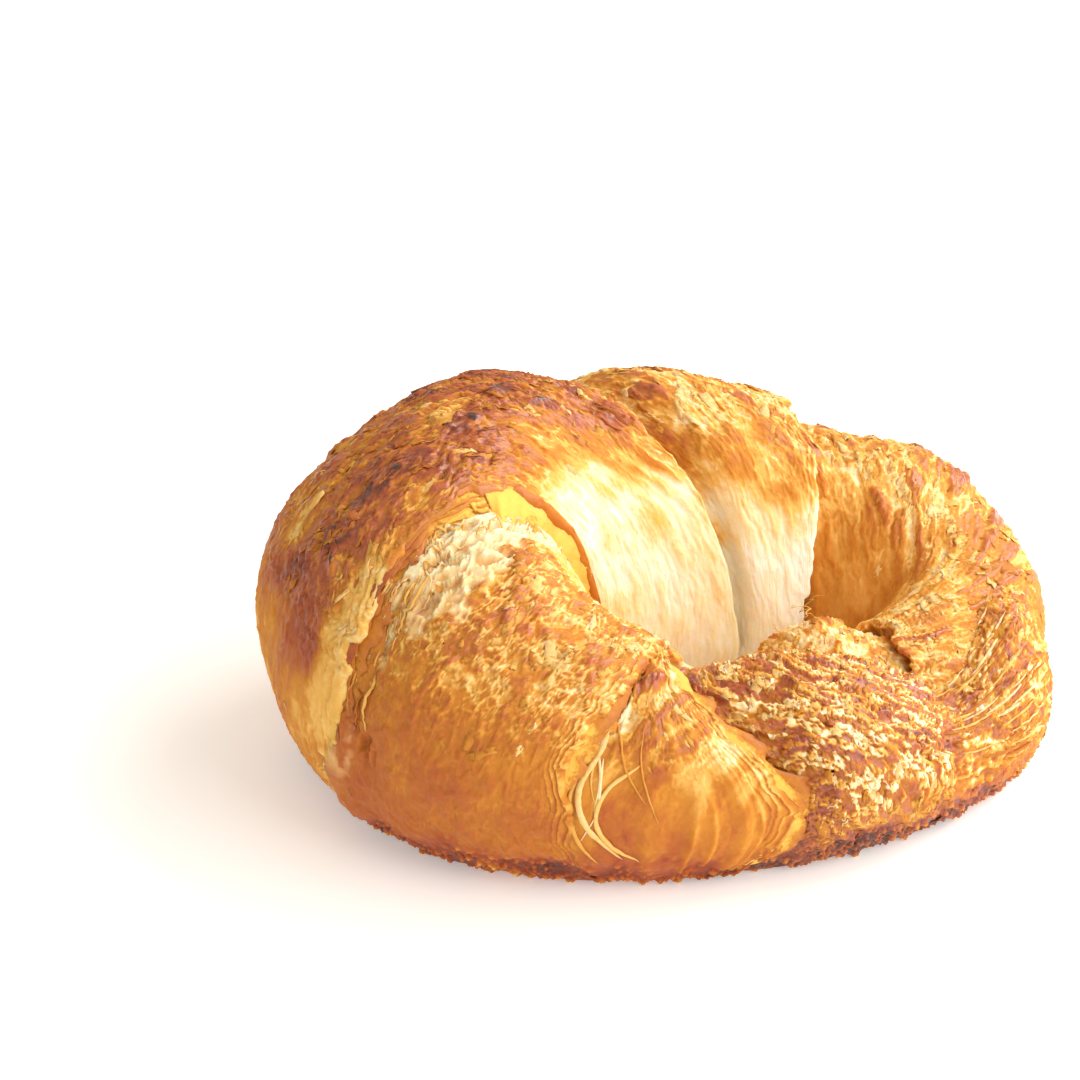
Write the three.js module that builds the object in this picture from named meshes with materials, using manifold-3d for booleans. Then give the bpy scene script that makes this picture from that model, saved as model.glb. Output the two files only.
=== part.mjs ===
// A crescent-shaped croissant whose two arms curl round until they meet, in millimetres.
// +Z is up, the flat underside is at z = 0, and the origin is the middle of the bounding box there.
// The roll is one piece of baked dough: a fat belly on the left (-X), a front arm (-Y) and a back
// arm (+Y) that taper to tips on the right (+X), with steps where one turn of dough ends on the next.

import * as THREE from "three";
import { mergeVertices } from "three/addons/utils/BufferGeometryUtils.js";
import Module from "manifold-3d";

// ---- Driving dimensions ----

// Stations along the roll, about 22 mm apart, from the front arm's tip to the back arm's tip.
// x, y: middle of the roll seen from above. outer, inner: half widths away from and towards the
// hollow. top: height of the back. lift: height of the underside, where a tip is clear of the table.
const STATIONS = [
  { x: 61, y: 11, outer: 2, inner: 2, top: 26, lift: 14 }, // front arm's tip, turned up
  { x: 57, y: 0, outer: 11, inner: 11, top: 29, lift: 0 },
  { x: 46, y: -13, outer: 12.5, inner: 12, top: 22, lift: 0 }, // the pinch behind that tip
  { x: 29, y: -22, outer: 15.5, inner: 14, top: 29, lift: 0 },
  { x: 10, y: -27, outer: 18, inner: 16, top: 31, lift: 0 },
  { x: -12, y: -27, outer: 21, inner: 20, top: 40, lift: 0 },
  { x: -29, y: -16, outer: 28, inner: 22, top: 50, lift: 0 },
  { x: -34, y: 4, outer: 31, inner: 25, top: 56, lift: 0 }, // the belly
  { x: -25, y: 22, outer: 28, inner: 26, top: 57, lift: 0 },
  { x: -5, y: 32, outer: 24, inner: 26, top: 53, lift: 0 },
  { x: 18, y: 34, outer: 22, inner: 24, top: 49, lift: 0 },
  { x: 41, y: 27, outer: 21.5, inner: 19, top: 42, lift: 0 },
  { x: 51, y: 10, outer: 16, inner: 12, top: 32, lift: 0 },
  { x: 41, y: -6, outer: 12, inner: 11, top: 28, lift: 0 },
  { x: 26, y: -11, outer: 10, inner: 9, top: 30, lift: 0 },
  { x: 12, y: -12, outer: 2, inner: 2, top: 22, lift: 9 }, // back arm's tip, tucked in the hollow
];

// Turns of dough between two steps, from the front tip to the back tip. Each starts at a place on
// the roll counted in stations, given on its outer flank, its back and its inner flank. swell is how
// far the turn bulges, in mm. towards says where the turn that lies over this one is: 1 at its far
// end, -1 at its near end, 0 for the belly, which lies over both its neighbours.
const TURNS = [
  { outer: 0, back: 0, inner: 0, swell: 0.4, towards: 1 },
  { outer: 2.3, back: 2.25, inner: 2.1, swell: 1.8, towards: 1 },
  { outer: 3.6, back: 4.4, inner: 3.9, swell: 0.8, towards: 1 },
  { outer: 4.95, back: 4.5, inner: 4.3, swell: 1.8, towards: 1 },
  { outer: 6.0, back: 6.35, inner: 7.0, swell: 1.6, towards: 0 },
  { outer: 8.3, back: 8.7, inner: 9.95, swell: 2.2, towards: -1 },
  { outer: 10.05, back: 10.32, inner: 10.8, swell: 1.7, towards: -1 },
  { outer: 13.2, back: 13.2, inner: 13.2, swell: 1.0, towards: -1 },
];
const BELLY = TURNS.findIndex((turn) => turn.towards === 0);

// Height of the roll's widest level, as a share of its height. It is lower in the hollow, whose
// walls lean in towards its bottom.
const WIDEST_OUTSIDE = 0.44;
const WIDEST_INSIDE = 0.3;
const UNDER = 1.25; // how far the underside would hang below the table, which flattens it
const SIDES = 36; // facets round the roll
const RING_GAP = 3.2; // spacing of the rings along the roll, in mm
const STATION_GAP = 22; // mean distance between stations, in mm
const TANGENT_REACH = 0.6; // in stations, for the roll's direction
const LOW_SWELL = 0.3; // share of the swell left at the foot of the flanks
const CRUST_COLOUR = 0xd08a3c;

// ---- The roll's curves ----

const smoothstep = (x) => THREE.MathUtils.smoothstep(x, 0, 1);

// Catmull-Rom through one field of the stations, carried on in a straight line past both ends.
function along(field, place) {
  const last = STATIONS.length - 1;
  const at = THREE.MathUtils.clamp(place, 0, last);
  const i = Math.min(Math.floor(at), last - 1);
  const value = (n) => {
    if (n < 0) return 2 * STATIONS[0][field] - STATIONS[1][field];
    if (n > last) return 2 * STATIONS[last][field] - STATIONS[last - 1][field];
    return STATIONS[n][field];
  };
  const [a, b, c, d] = [i - 1, i, i + 1, i + 2].map(value);
  const f = at - i;
  const curve = (c - a) * f + (2 * a - 5 * b + 4 * c - d) * f ** 2 + (3 * b - a - 3 * c + d) * f ** 3;
  return b + curve / 2;
}

// Where a turn starts at an angle round the roll, from 0 on the outer flank to PI on the inner one.
function startOf(turn, angle) {
  if (turn >= TURNS.length) return STATIONS.length - 1;
  const { outer, back, inner } = TURNS[turn];
  const across = Math.cos(angle);
  return back + ((outer - inner) / 2) * across + ((outer + inner) / 2 - back) * across ** 2;
}

// How a turn swells between the step it comes out from under, at 0, and its own free edge, at 1.
function swelling(share, overBoth) {
  if (overBoth) {
    const edges = smoothstep(share / 0.04) + smoothstep((1 - share) / 0.04);
    return 0.5 * Math.sin(Math.PI * share) + edges - 1.1;
  }
  const rise = 2.1 * smoothstep(share / 0.38) - 1.2;
  return rise + 0.25 * Math.sin(Math.PI * share) - 0.9 * (1 - smoothstep((1 - share) / 0.05));
}

// A point of the surface, at a place along the roll and an angle round it, moved out by swell.
function surfacePoint(place, angle, swell) {
  const [across, up] = [Math.cos(angle), Math.sin(angle)];
  const [top, lift] = [along("top", place), Math.max(along("lift", place), 0)];
  const outside = (across + 1) / 2;
  const widest = lift + (top - lift) * THREE.MathUtils.lerp(WIDEST_INSIDE, WIDEST_OUTSIDE, outside);
  const rise = up >= 0 ? (top - widest) * up + swell * up : (widest - lift) * UNDER * up;
  const reach = along(across > 0 ? "outer" : "inner", place) * across + swell * across;
  const step = (field) => along(field, place + TANGENT_REACH) - along(field, place - TANGENT_REACH);
  const outward = new THREE.Vector2(-step("y"), step("x")).normalize();
  return new THREE.Vector3(
    along("x", place) + outward.x * reach,
    along("y", place) + outward.y * reach,
    Math.max(widest + rise, lift),
  );
}

// One ring of surface points, at a share of the way through a turn.
function ringIn(turn, share) {
  const { swell, towards } = TURNS[turn];
  const fromStep = towards > 0 ? 1 - share : share;
  const height = swell * swelling(fromStep, towards === 0);
  return Array.from({ length: SIDES }, (_, side) => {
    const angle = (side / SIDES) * 2 * Math.PI;
    const place = THREE.MathUtils.lerp(startOf(turn, angle), startOf(turn + 1, angle), share);
    const fade = THREE.MathUtils.lerp(LOW_SWELL, 1, smoothstep((Math.sin(angle) + 0.3) / 0.8));
    return surfacePoint(place, angle, height * fade);
  });
}

// The rings of a turn from one share of its length to another, both ends included.
function ringsOf(turn, from, to) {
  const lengthAt = (angle) => (startOf(turn + 1, angle) - startOf(turn, angle)) * STATION_GAP;
  const length = Math.max(lengthAt(0), lengthAt(Math.PI / 2), lengthAt(Math.PI));
  const count = Math.max(2, Math.round((length * (to - from)) / RING_GAP));
  return Array.from({ length: count + 1 }, (_, i) => ringIn(turn, from + ((to - from) * i) / count));
}

// ---- Solids ----

// A closed skin over a list of rings, with a fan of facets to the middle of each end ring.
function skinOver(rings) {
  const middle = (ring) => ring.reduce((sum, p) => sum.add(p), new THREE.Vector3()).divideScalar(SIDES);
  const points = [...rings.flat(), middle(rings[0]), middle(rings[rings.length - 1])];
  const [startPole, endPole] = [points.length - 2, points.length - 1];
  const index = [];
  for (let side = 0; side < SIDES; side++) {
    const next = (side + 1) % SIDES;
    index.push(startPole, next, side);
    for (let ring = 0; ring < rings.length - 1; ring++) {
      const [near, far] = [ring * SIDES, (ring + 1) * SIDES];
      index.push(near + side, near + next, far + side, near + next, far + next, far + side);
    }
    const last = (rings.length - 1) * SIDES;
    index.push(endPole, last + side, last + next);
  }
  return new THREE.BufferGeometry().setFromPoints(points).setIndex(index);
}

const wasm = await Module();
wasm.setup();

function toSolid(geometry) {
  const merged = mergeVertices(geometry, 1e-4);
  return new wasm.Manifold(
    new wasm.Mesh({
      numProp: 3,
      vertProperties: merged.attributes.position.array,
      triVerts: new Uint32Array(merged.index.array),
    }),
  );
}

function toGeometry(solid) {
  const { vertProperties, triVerts } = solid.getMesh();
  return new THREE.BufferGeometry()
    .setAttribute("position", new THREE.BufferAttribute(vertProperties, 3))
    .setIndex(new THREE.BufferAttribute(triVerts, 1));
}

// The roll is skinned in two halves that meet inside the belly, and the halves are joined. Where
// the tips press into the other arm, the join bakes them together into one piece.
function rollSolid() {
  const before = TURNS.slice(0, BELLY).flatMap((_, turn) => ringsOf(turn, 0, 1));
  const after = TURNS.slice(BELLY + 1).flatMap((_, i) => ringsOf(BELLY + 1 + i, 0, 1));
  const frontHalf = skinOver([...before, ...ringsOf(BELLY, 0, 0.5)]);
  const backHalf = skinOver([...ringsOf(BELLY, 0.5, 1), ...after]);
  return toSolid(frontHalf).add(toSolid(backHalf));
}

function croissantMesh() {
  const geometry = toGeometry(rollSolid());
  geometry.computeBoundingBox();
  const { min, max } = geometry.boundingBox;
  geometry.translate(-(min.x + max.x) / 2, -(min.y + max.y) / 2, -min.z);
  geometry.computeVertexNormals();
  const crust = new THREE.MeshStandardMaterial({ color: CRUST_COLOUR, roughness: 0.55, metalness: 0 });
  const mesh = new THREE.Mesh(geometry, crust);
  mesh.name = "croissant";
  return mesh;
}

const part = new THREE.Group();
part.add(croissantMesh());

export default part;
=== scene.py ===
# %% [markdown]
# # A croissant with its arms curled round
# The real thing is one triangle of folded, buttery dough, rolled up from its wide side, bent into
# a ring and baked. Each turn of the roll shows as a band that laps over its neighbour, and the
# outermost layers dry into thin, blistered, browned flakes.
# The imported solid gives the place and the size. It is loaded first, and everything fits inside it.

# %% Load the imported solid
import itertools
import math

import bpy
import numpy as np
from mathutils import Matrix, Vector


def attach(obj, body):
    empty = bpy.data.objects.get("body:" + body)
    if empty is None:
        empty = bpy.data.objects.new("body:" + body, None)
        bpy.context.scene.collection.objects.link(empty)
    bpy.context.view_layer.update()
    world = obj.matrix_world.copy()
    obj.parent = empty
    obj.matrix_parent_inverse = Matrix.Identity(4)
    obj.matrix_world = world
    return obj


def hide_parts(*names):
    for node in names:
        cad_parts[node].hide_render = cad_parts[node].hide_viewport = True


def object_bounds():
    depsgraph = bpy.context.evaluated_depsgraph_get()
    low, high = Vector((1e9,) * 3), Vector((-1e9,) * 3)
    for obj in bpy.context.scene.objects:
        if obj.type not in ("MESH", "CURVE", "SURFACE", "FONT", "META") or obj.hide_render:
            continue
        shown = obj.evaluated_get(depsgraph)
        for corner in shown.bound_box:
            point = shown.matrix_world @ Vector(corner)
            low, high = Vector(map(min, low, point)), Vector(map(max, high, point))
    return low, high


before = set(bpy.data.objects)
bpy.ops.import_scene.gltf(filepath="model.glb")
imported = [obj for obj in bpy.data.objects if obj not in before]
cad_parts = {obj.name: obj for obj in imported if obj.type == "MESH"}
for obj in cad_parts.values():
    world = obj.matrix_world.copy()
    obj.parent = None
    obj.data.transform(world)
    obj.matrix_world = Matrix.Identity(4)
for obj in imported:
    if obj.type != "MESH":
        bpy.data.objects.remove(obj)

cad_box = [list(corner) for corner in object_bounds()]
bpy.ops.object.select_all(action="DESELECT")
MM = 0.001
print("solid, in mm:", [round((high - low) / MM, 1) for low, high in zip(*cad_box)])

# %% [markdown]
# ## The line that the roll follows
# A baker would say: start at the front arm's tip, go round the belly, and end at the tip of the
# back arm. Sixteen stations, about 22 mm apart, say where the middle of the roll is, how far it
# reaches away from and towards the hollow, and how high its back and its underside are.
# A curve object with a bevel could do this for a round roll. Ours is wider on one side than on
# the other and flat below, so its cross-section is worked out from the stations instead.

# %% Stations along the roll, in mm
# x, y, reach away from the hollow, reach towards it, height of the back, height of the underside
STATIONS = np.array([
    (61, 11, 2, 2, 26, 14),  # front arm's tip, turned up
    (57, 0, 11, 11, 29, 0),
    (46, -13, 12.5, 12, 22, 0),  # the pinch behind that tip
    (29, -22, 15.5, 14, 29, 0),
    (10, -27, 18, 16, 31, 0),
    (-12, -27, 21, 20, 40, 0),
    (-29, -16, 28, 22, 50, 0),
    (-34, 4, 31, 25, 56, 0),  # the belly
    (-25, 22, 28, 26, 57, 0),
    (-5, 32, 24, 26, 53, 0),
    (18, 34, 22, 24, 49, 0),
    (41, 27, 21.5, 19, 42, 0),
    (51, 10, 16, 12, 32, 0),
    (41, -6, 12, 11, 28, 0),
    (26, -11, 10, 9, 30, 0),
    (12, -12, 2, 2, 22, 9),  # back arm's tip, tucked in the hollow
], float)
X, Y, OUTER, INNER, TOP, LIFT = range(6)
STATION_GAP = 22
LAST = len(STATIONS) - 1


def spline(values, place):
    """Catmull-Rom through a row of values, carried on in a straight line past both ends."""
    place = np.clip(place, 0, len(values) - 1 - 1e-9)
    values = np.concatenate([[2 * values[0] - values[1]], values, [2 * values[-1] - values[-2]]])
    i = np.floor(place).astype(int)
    f = place - i
    a, b, c, d = (values[i + n] for n in range(4))
    return b + 0.5 * ((c - a) * f + (2 * a - 5 * b + 4 * c - d) * f**2 + (3 * b - a - 3 * c + d) * f**3)


def along(field, place):
    """One column of the stations at any place along the roll."""
    return spline(STATIONS[:, field], place)


def smooth(x, low=0.0, high=1.0):
    """0 below low, 1 above high, and an S-curve between."""
    x = np.clip((x - low) / (high - low), 0, 1)
    return x * x * (3 - 2 * x)


# %% [markdown]
# ## The cross-section
# The angle goes round the roll: 0 on the outer flank, 90 degrees on the back, 180 on the wall of
# the hollow. The underside would hang a little below the table, and is cut off flat there, which
# is how soft dough settles on a tray.

# %% A point of the skin
WIDEST_OUTSIDE, WIDEST_INSIDE, UNDER = 0.44, 0.3, 1.25
TANGENT_REACH = 0.6


def skin_point(place, angle, proud):
    """A point of the skin in mm, at a place along the roll and an angle round it, raised by proud."""
    across, up = np.cos(angle), np.sin(angle)
    top, lift = along(TOP, place), np.maximum(along(LIFT, place), 0)
    widest = lift + (top - lift) * (WIDEST_INSIDE + (WIDEST_OUTSIDE - WIDEST_INSIDE) * (across + 1) / 2)
    above = (top - widest) * up + proud * up
    z = np.maximum(widest + np.where(up >= 0, above, (widest - lift) * UNDER * up), lift)
    reach = np.where(across > 0, along(OUTER, place), along(INNER, place)) * across + proud * across
    dx = along(X, place + TANGENT_REACH) - along(X, place - TANGENT_REACH)
    dy = along(Y, place + TANGENT_REACH) - along(Y, place - TANGENT_REACH)
    length = np.hypot(dx, dy)
    return np.stack([along(X, place) - dy / length * reach, along(Y, place) + dx / length * reach, z], -1)


print("the belly's back, in mm:", np.round(skin_point(7.0, math.pi / 2, 0), 1))

# %% [markdown]
# ## The turns of dough
# Eight bands of dough show. Each starts at a place on the roll, counted in stations, that differs
# on the outer flank, the back and the inner wall, because the dough was rolled at a slant. The
# belly's band was rolled last, so it laps over both its neighbours, and so on down to the tips.
# towards says where the band that laps over this one is: 1 at its far end, -1 at its near end.
# swell is how far it bulges, in mm. rings and sides say how finely it is meshed, along the roll and
# round it, and grain how long and wide its patches of crust are, in mm.

# %% The bands, from the front tip to the back tip
COLUMNS = ("name", "start", "swell", "towards", "rings", "sides", "grain")
TURNS = [dict(zip(COLUMNS, row)) for row in (
    ("front_tip", (0, 0, 0), 0.4, 1, 150, 220, (4.5, 1.2)),
    ("front_arm", (2.3, 2.25, 2.1), 1.8, 1, 200, 260, (1.5, 2.6)),
    ("front_fold", (3.6, 4.4, 3.9), 0.8, 1, 120, 220, (1.8, 4.5)),
    ("front_shoulder", (4.95, 4.5, 4.3), 1.8, 1, 220, 290, (1.7, 2.1)),
    ("belly", (6.0, 6.35, 7.0), 1.6, 0, 270, 340, (1.6, 4.6)),
    ("back_shoulder", (8.3, 8.7, 9.95), 2.2, -1, 160, 280, (2.2, 5.0)),
    ("back_arm", (10.05, 10.32, 10.8), 1.7, -1, 260, 260, (2.2, 4.2)),
    ("back_tip", (13.2, 13.2, 13.2), 1.0, -1, 120, 170, (1.5, 1.6)),
)]
LOW_SWELL = 0.3


def start_of(turn, angle):
    """Where a band starts, in stations, at an angle round the roll."""
    if turn >= len(TURNS):
        return LAST + 0 * angle
    outer, back, inner = TURNS[turn]["start"]
    across = np.cos(angle)
    return back + (outer - inner) / 2 * across + ((outer + inner) / 2 - back) * across**2


def swelling(share, both):
    """How a band swells from the step it comes out from under, at 0, to its own free edge, at 1."""
    if both:
        return 0.9 + 0.5 * np.sin(np.pi * np.clip(share, 0, 1))
    return 2.1 * smooth(share / 0.38) - 1.2 + 0.25 * np.sin(np.pi * np.clip(share, 0, 1))


def fading(angle):
    """How much of the swell is left: all of it on the back, little at the foot."""
    return LOW_SWELL + (1 - LOW_SWELL) * smooth((np.sin(angle) + 0.3) / 0.8)


def plain_form():
    """The bands with no detail, coarsely, to see where the whole roll lies."""
    angle = np.linspace(0, 2 * np.pi, 72)
    bands = []
    for turn, band in enumerate(TURNS):
        for share in np.linspace(0, 1, 24):
            from_step = 1 - share if band["towards"] > 0 else share
            proud = band["swell"] * swelling(from_step, band["towards"] == 0) * fading(angle)
            place = start_of(turn, angle) * (1 - share) + start_of(turn + 1, angle) * share
            bands.append(skin_point(place, angle, proud))
    return np.concatenate(bands)


form = plain_form()
SHIFT = (np.array(cad_box[0]) + np.array(cad_box[1])) / 2 / MM - (form.max(0) + form.min(0)) / 2
SHIFT[2] = 0
print("moved to the solid's place by", np.round(SHIFT, 2), "mm")

# %% [markdown]
# ## The camera
# It looks slightly down on the front, with a long lens, as one looks at a plate from across
# the table. It comes early, so that everything later can be judged through it.

# %% Camera
CAMERA_RISE = math.radians(28)
CAMERA_DISTANCE = 0.6
CAMERA_HALF_VIEW = 0.09
CAMERA_AIM = Vector((-19, 0, 41.5))  # in mm, before the move to the solid's place
SENSOR_WIDTH = 36
aim = (CAMERA_AIM + Vector(SHIFT)) * MM
back = Vector((0, -math.cos(CAMERA_RISE), math.sin(CAMERA_RISE)))
bpy.ops.object.camera_add(location=aim + back * CAMERA_DISTANCE)
camera = bpy.context.object
camera.name = "camera"
camera.rotation_euler = back.to_track_quat("Z", "Y").to_euler()
camera.data.sensor_width = SENSOR_WIDTH
camera.data.lens = SENSOR_WIDTH / 2 * CAMERA_DISTANCE / CAMERA_HALF_VIEW
bpy.context.scene.camera = camera
print("lens", round(camera.data.lens), "mm")

# %% [markdown]
# ## Unevenness
# Dough is never even. These three helpers give numbers that wander smoothly from 0 to 1 through
# space, from a fixed seed, so the croissant comes out the same each time. Blender's Displace
# modifier with a Clouds texture could do part of it. Plain arrays let the same numbers push the
# skin out and colour it too, so that a blister is brown exactly where it is raised.

# %% Smooth randomness
def random_at(cell, seed):
    """A number from 0 to 1 that belongs to a whole-numbered cell of space."""
    x, y, z = (cell[..., n].astype(np.int64).astype(np.uint32) for n in range(3))
    mixed = x * np.uint32(0x8DA6B343) ^ y * np.uint32(0xD8163841) ^ z * np.uint32(0xCB1AB31F)
    mixed = mixed ^ np.uint32(seed * 0x9E3779B1 & 0xFFFFFFFF)
    for shift, factor in ((16, 0x7FEB352D), (15, 0x846CA68B)):
        mixed = (mixed ^ mixed >> np.uint32(shift)) * np.uint32(factor)
    return (mixed ^ mixed >> np.uint32(16)) / 2.0**32


def cloud(points, seed):
    """Smooth randomness with features about one unit across."""
    cell = np.floor(points)
    f = points - cell
    f = f**3 * (f * (f * 6 - 15) + 10)
    total = 0
    for corner in itertools.product((0, 1), repeat=3):
        weight = np.prod(np.where(np.array(corner) == 1, f, 1 - f), axis=-1)
        total = total + weight * random_at(cell + corner, seed)
    return total


def clouds(points, seed, octaves=3):
    """Clouds of several sizes added up, each half the size and half the strength of the one before."""
    total, strength = 0, 0
    for octave in range(octaves):
        total = total + cloud(points * 2.03**octave + 7.3 * octave, seed + octave) / 2**octave
        strength += 1 / 2**octave
    return np.clip(0.5 + (total / strength - 0.5) * 1.6, 0, 1)


def bubbles(points, seed):
    """Distance to the nearest of many scattered points, about one for each unit of space."""
    cell = np.floor(points)
    nearest = np.full(points.shape[:-1], 9.0)
    for offset in itertools.product((-1, 0, 1), repeat=3):
        there = cell + offset
        centre = there + np.stack([random_at(there, seed + n) for n in range(3)], -1)
        nearest = np.minimum(nearest, np.linalg.norm(points - centre, axis=-1))
    return nearest


print("a cloud's values along a line:", np.round(cloud(np.linspace((0, 0, 0), (3, 0, 0), 7), 1), 2))

# %% [markdown]
# ## Rings of one band
# A band is a sleeve of rings. It comes out from under its neighbour, swells, and ends in a free
# edge, which is ragged, about a millimetre thick and undercut, so that a dark crack shows below it.
# Each ring has a share of the way along the band, a shift past the edge and a drop below the skin.

# %% Ring tables and the grid of a band
TUCK_ROWS = [(-7, 9), (-5.2, 5), (-3.6, 2.4), (-2.2, 1.1), (-1, 0.4)]
STILL_ROWS = 3  # hidden rows under the neighbour, which get no relief
LIP_ROWS = [
    (0.25, 0.12), (0.42, 0.38), (0.45, 0.7), (0.3, 1.0), (0, 1.25), (-0.6, 1.5),
    (-1.3, 2.0), (-1.8, 3.0), (-2.2, 4.5), (-3, 7),
]
TIP_ROWS = [(0.6, 0.95), (1.1, 0.82), (1.5, 0.6), (1.75, 0.3)]  # mm past a tip's last ring, and its scale
VISIBLE_SHARE = 0.9  # of the columns, for the part of the section that isn't the underside
UNDERSIDE_FROM = math.radians(50)


def angles(sides):
    """Angles from below, round the outer flank, the back and the hollow's wall, to below again."""
    f = np.linspace(0, 1, sides + 1)
    rest = (1 - VISIBLE_SHARE) / 2
    low, high = -UNDERSIDE_FROM, math.pi + UNDERSIDE_FROM
    return np.interp(f, [0, rest, 1 - rest, 1], [-math.pi / 2, low, high, 1.5 * math.pi])


MEAN_RADIUS = 25  # of the roll's section in mm, which turns an angle into a length round it


def ragged(angle, turn, side):
    """How far an edge strays from its line, in mm, round the roll."""
    t = np.stack([angle * MEAN_RADIUS, 0 * angle, 0 * angle + turn * 9.7 + side * 4.1], -1)
    slow, quick = cloud(t / 8, 11) - 0.5, cloud(t / 2.1, 12) - 0.5
    notch = smooth(cloud(t / 4.5, 13), 0.66, 0.8)
    return 2.4 * slow + 0.5 * quick - 1.2 * notch


def grid_of(turn):
    """Skin of one band in mm, as rows of rings, with the share of the way along it of each row."""
    band = TURNS[turn]
    both = band["towards"] == 0
    sign = -1 if band["towards"] > 0 else 1
    tip = turn in (0, len(TURNS) - 1)
    angle = angles(band["sides"])
    near, far = (turn + 1, turn) if sign < 0 else (turn, turn + 1)
    shares = np.linspace(0, 1, band["rings"])
    if both:
        rows = [(0, -shift, drop) for shift, drop in LIP_ROWS[::-1]]
    else:
        rows = [(0, shift, drop) for shift, drop in TUCK_ROWS]
    rows += [(share, 0, 0) for share in shares]
    rows += [] if tip else [(1, shift, drop) for shift, drop in LIP_ROWS]
    share, shift, drop = (column[:, None] for column in np.array(rows, float).T)
    proud = band["swell"] * swelling(share, both) * fading(angle) - drop
    stray = smooth(share, 0.8, 1) * ragged(angle, turn, 1) * (not tip)
    stray = stray - smooth(share, 0.2, 0) * ragged(angle, turn, 0) * both
    place = start_of(near, angle) * (1 - share) + start_of(far, angle) * share
    place = place + sign * (shift + stray) / STATION_GAP
    grid = skin_point(place, angle[None, :], proud)
    if tip:
        grid = with_rounded_tip(grid)
        share = np.concatenate([share, np.ones((len(TIP_ROWS), 1))])
    return grid, share + 0 * angle, angle[None, :] + 0 * share


def with_rounded_tip(grid):
    """The same rings with a few more, each smaller, that round off the last one."""
    middle, before = grid[-1].mean(axis=0), grid[-5].mean(axis=0)
    ahead = (middle - before) / np.linalg.norm(middle - before)
    extra = [middle + ahead * past + (grid[-1] - middle) * scale for past, scale in TIP_ROWS]
    return np.concatenate([grid, extra])


def normals_of(grid):
    """Outward direction at each point of a grid of rings."""
    normal = np.cross(np.gradient(grid, axis=0), np.gradient(grid, axis=1))
    normal /= np.maximum(np.linalg.norm(normal, axis=-1, keepdims=True), 1e-9)
    outward = grid - grid.mean(axis=1, keepdims=True)
    middle = len(grid) // 2
    return normal * np.sign((normal[middle] * outward[middle]).sum())


for turn, band in enumerate(TURNS):
    band["plain"], band["share"], band["angle"] = grid_of(turn)
print("rings laid out:", sum(len(band["plain"]) for band in TURNS))

# %% [markdown]
# ## Blisters, flakes and crumb, as height
# The dough's layers were stretched round the roll, so blisters and flakes are long that way and
# short along it. Two distances are measured over each band: one along the roll, one round it.
# Clouds stretched between them give the grain. Where the top layer has peeled off, the skin steps
# down by a third of a millimetre, and those peeled places stay pale.

# %% Distances over a band, and its grain
CRUMB_SIDE = 3  # the band whose dough tore open beside the belly


def distances(grid):
    """Distance across the rings and distance round them, in mm, with no shear between the two."""
    step, turn_step = np.gradient(grid, axis=0), np.gradient(grid, axis=1)
    length = np.maximum(np.linalg.norm(turn_step, axis=-1, keepdims=True), 1e-9)
    way = turn_step / length
    slip = (step * way).sum(-1)
    run = np.cumsum(np.linalg.norm(step - slip[..., None] * way, axis=-1), axis=0)
    slid = np.cumsum(slip, axis=0)
    middle = len(grid) // 2
    return run, np.cumsum(length[middle, :, 0])[None, :] + slid - slid[middle]


def grain(run, ring, turn, size_along, size_round, seed, octaves=3):
    """Clouds that are stretched round the roll."""
    flow = np.stack([run / size_along, ring / size_round, 0 * run + 31.7 * turn], -1)
    return clouds(flow, seed, octaves)


def cells(along_roll, round_roll, seed):
    """Patches about one unit across: a number for each, and how far in from its edge each point is."""
    point = np.stack([along_roll, round_roll], -1)
    corner = np.floor(point)
    first, second = np.full(along_roll.shape, 9.0), np.full(along_roll.shape, 9.0)
    owner = np.zeros_like(first)
    for offset in itertools.product((-1, 0, 1), repeat=2):
        there = np.concatenate([corner + offset, 0 * corner[..., :1]], -1)
        centre = there[..., :2] + np.stack([random_at(there, seed * 7 + n) for n in range(2)], -1)
        gap = np.linalg.norm(point - centre, axis=-1)
        nearer = gap < first
        second = np.where(nearer, first, np.minimum(second, gap))
        owner = np.where(nearer, random_at(there, seed * 7 + 5), owner)
        first = np.minimum(first, gap)
    return owner, second - first


SLANT = {"front_arm": 0.6, "back_tip": 0.4}  # how far a band's grain leans
FLECKS = {"front_arm": 1.25, "front_tip": 0.6, "back_tip": 0.5, "front_shoulder": 0.1}  # elsewhere 0.2
STRINGS = {"front_tip": 1.0}  # where the dough was pinched, and its layers pulled into strings
WRINKLES = {"front_shoulder": 0.4, "front_fold": 0.1}  # in mm, elsewhere 0.2
RIM_HEIGHT = {"front_arm": 11, "front_tip": 10, "front_fold": 10, "front_shoulder": 10.5}  # elsewhere 8 mm
CRISP_FLANK = {"front_arm": 0.9, "front_tip": 0.75, "back_tip": 0.9, "back_arm": 0.35}  # elsewhere 0.22


def band_wall(angle):
    """1 on the wall of the hollow, 0 elsewhere."""
    return smooth(-np.cos(angle), 0.15, 0.75)


# %% [markdown]
# ## The open crumb, the foot and the whole relief
# Three things differ from plain crust. Beside the belly the dough tore open on soft, pitted crumb.
# At the foot, butter fried it into dark crumbs. And near a free edge its layers show as fine steps.
# A texture could fake these, but they show in the outline, so they are heights too.

# %% Open crumb beside the belly
def from_start(turn, angle, share):
    """Distance from where a band starts, in mm."""
    return share * (start_of(turn + 1, angle) - start_of(turn, angle)) * STATION_GAP


TEARS = ((27, 2.5, 2.2), (4, 3.5, 1.8), (14, 1.5, 1.2))  # degrees round, mm from the step, depth


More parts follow.
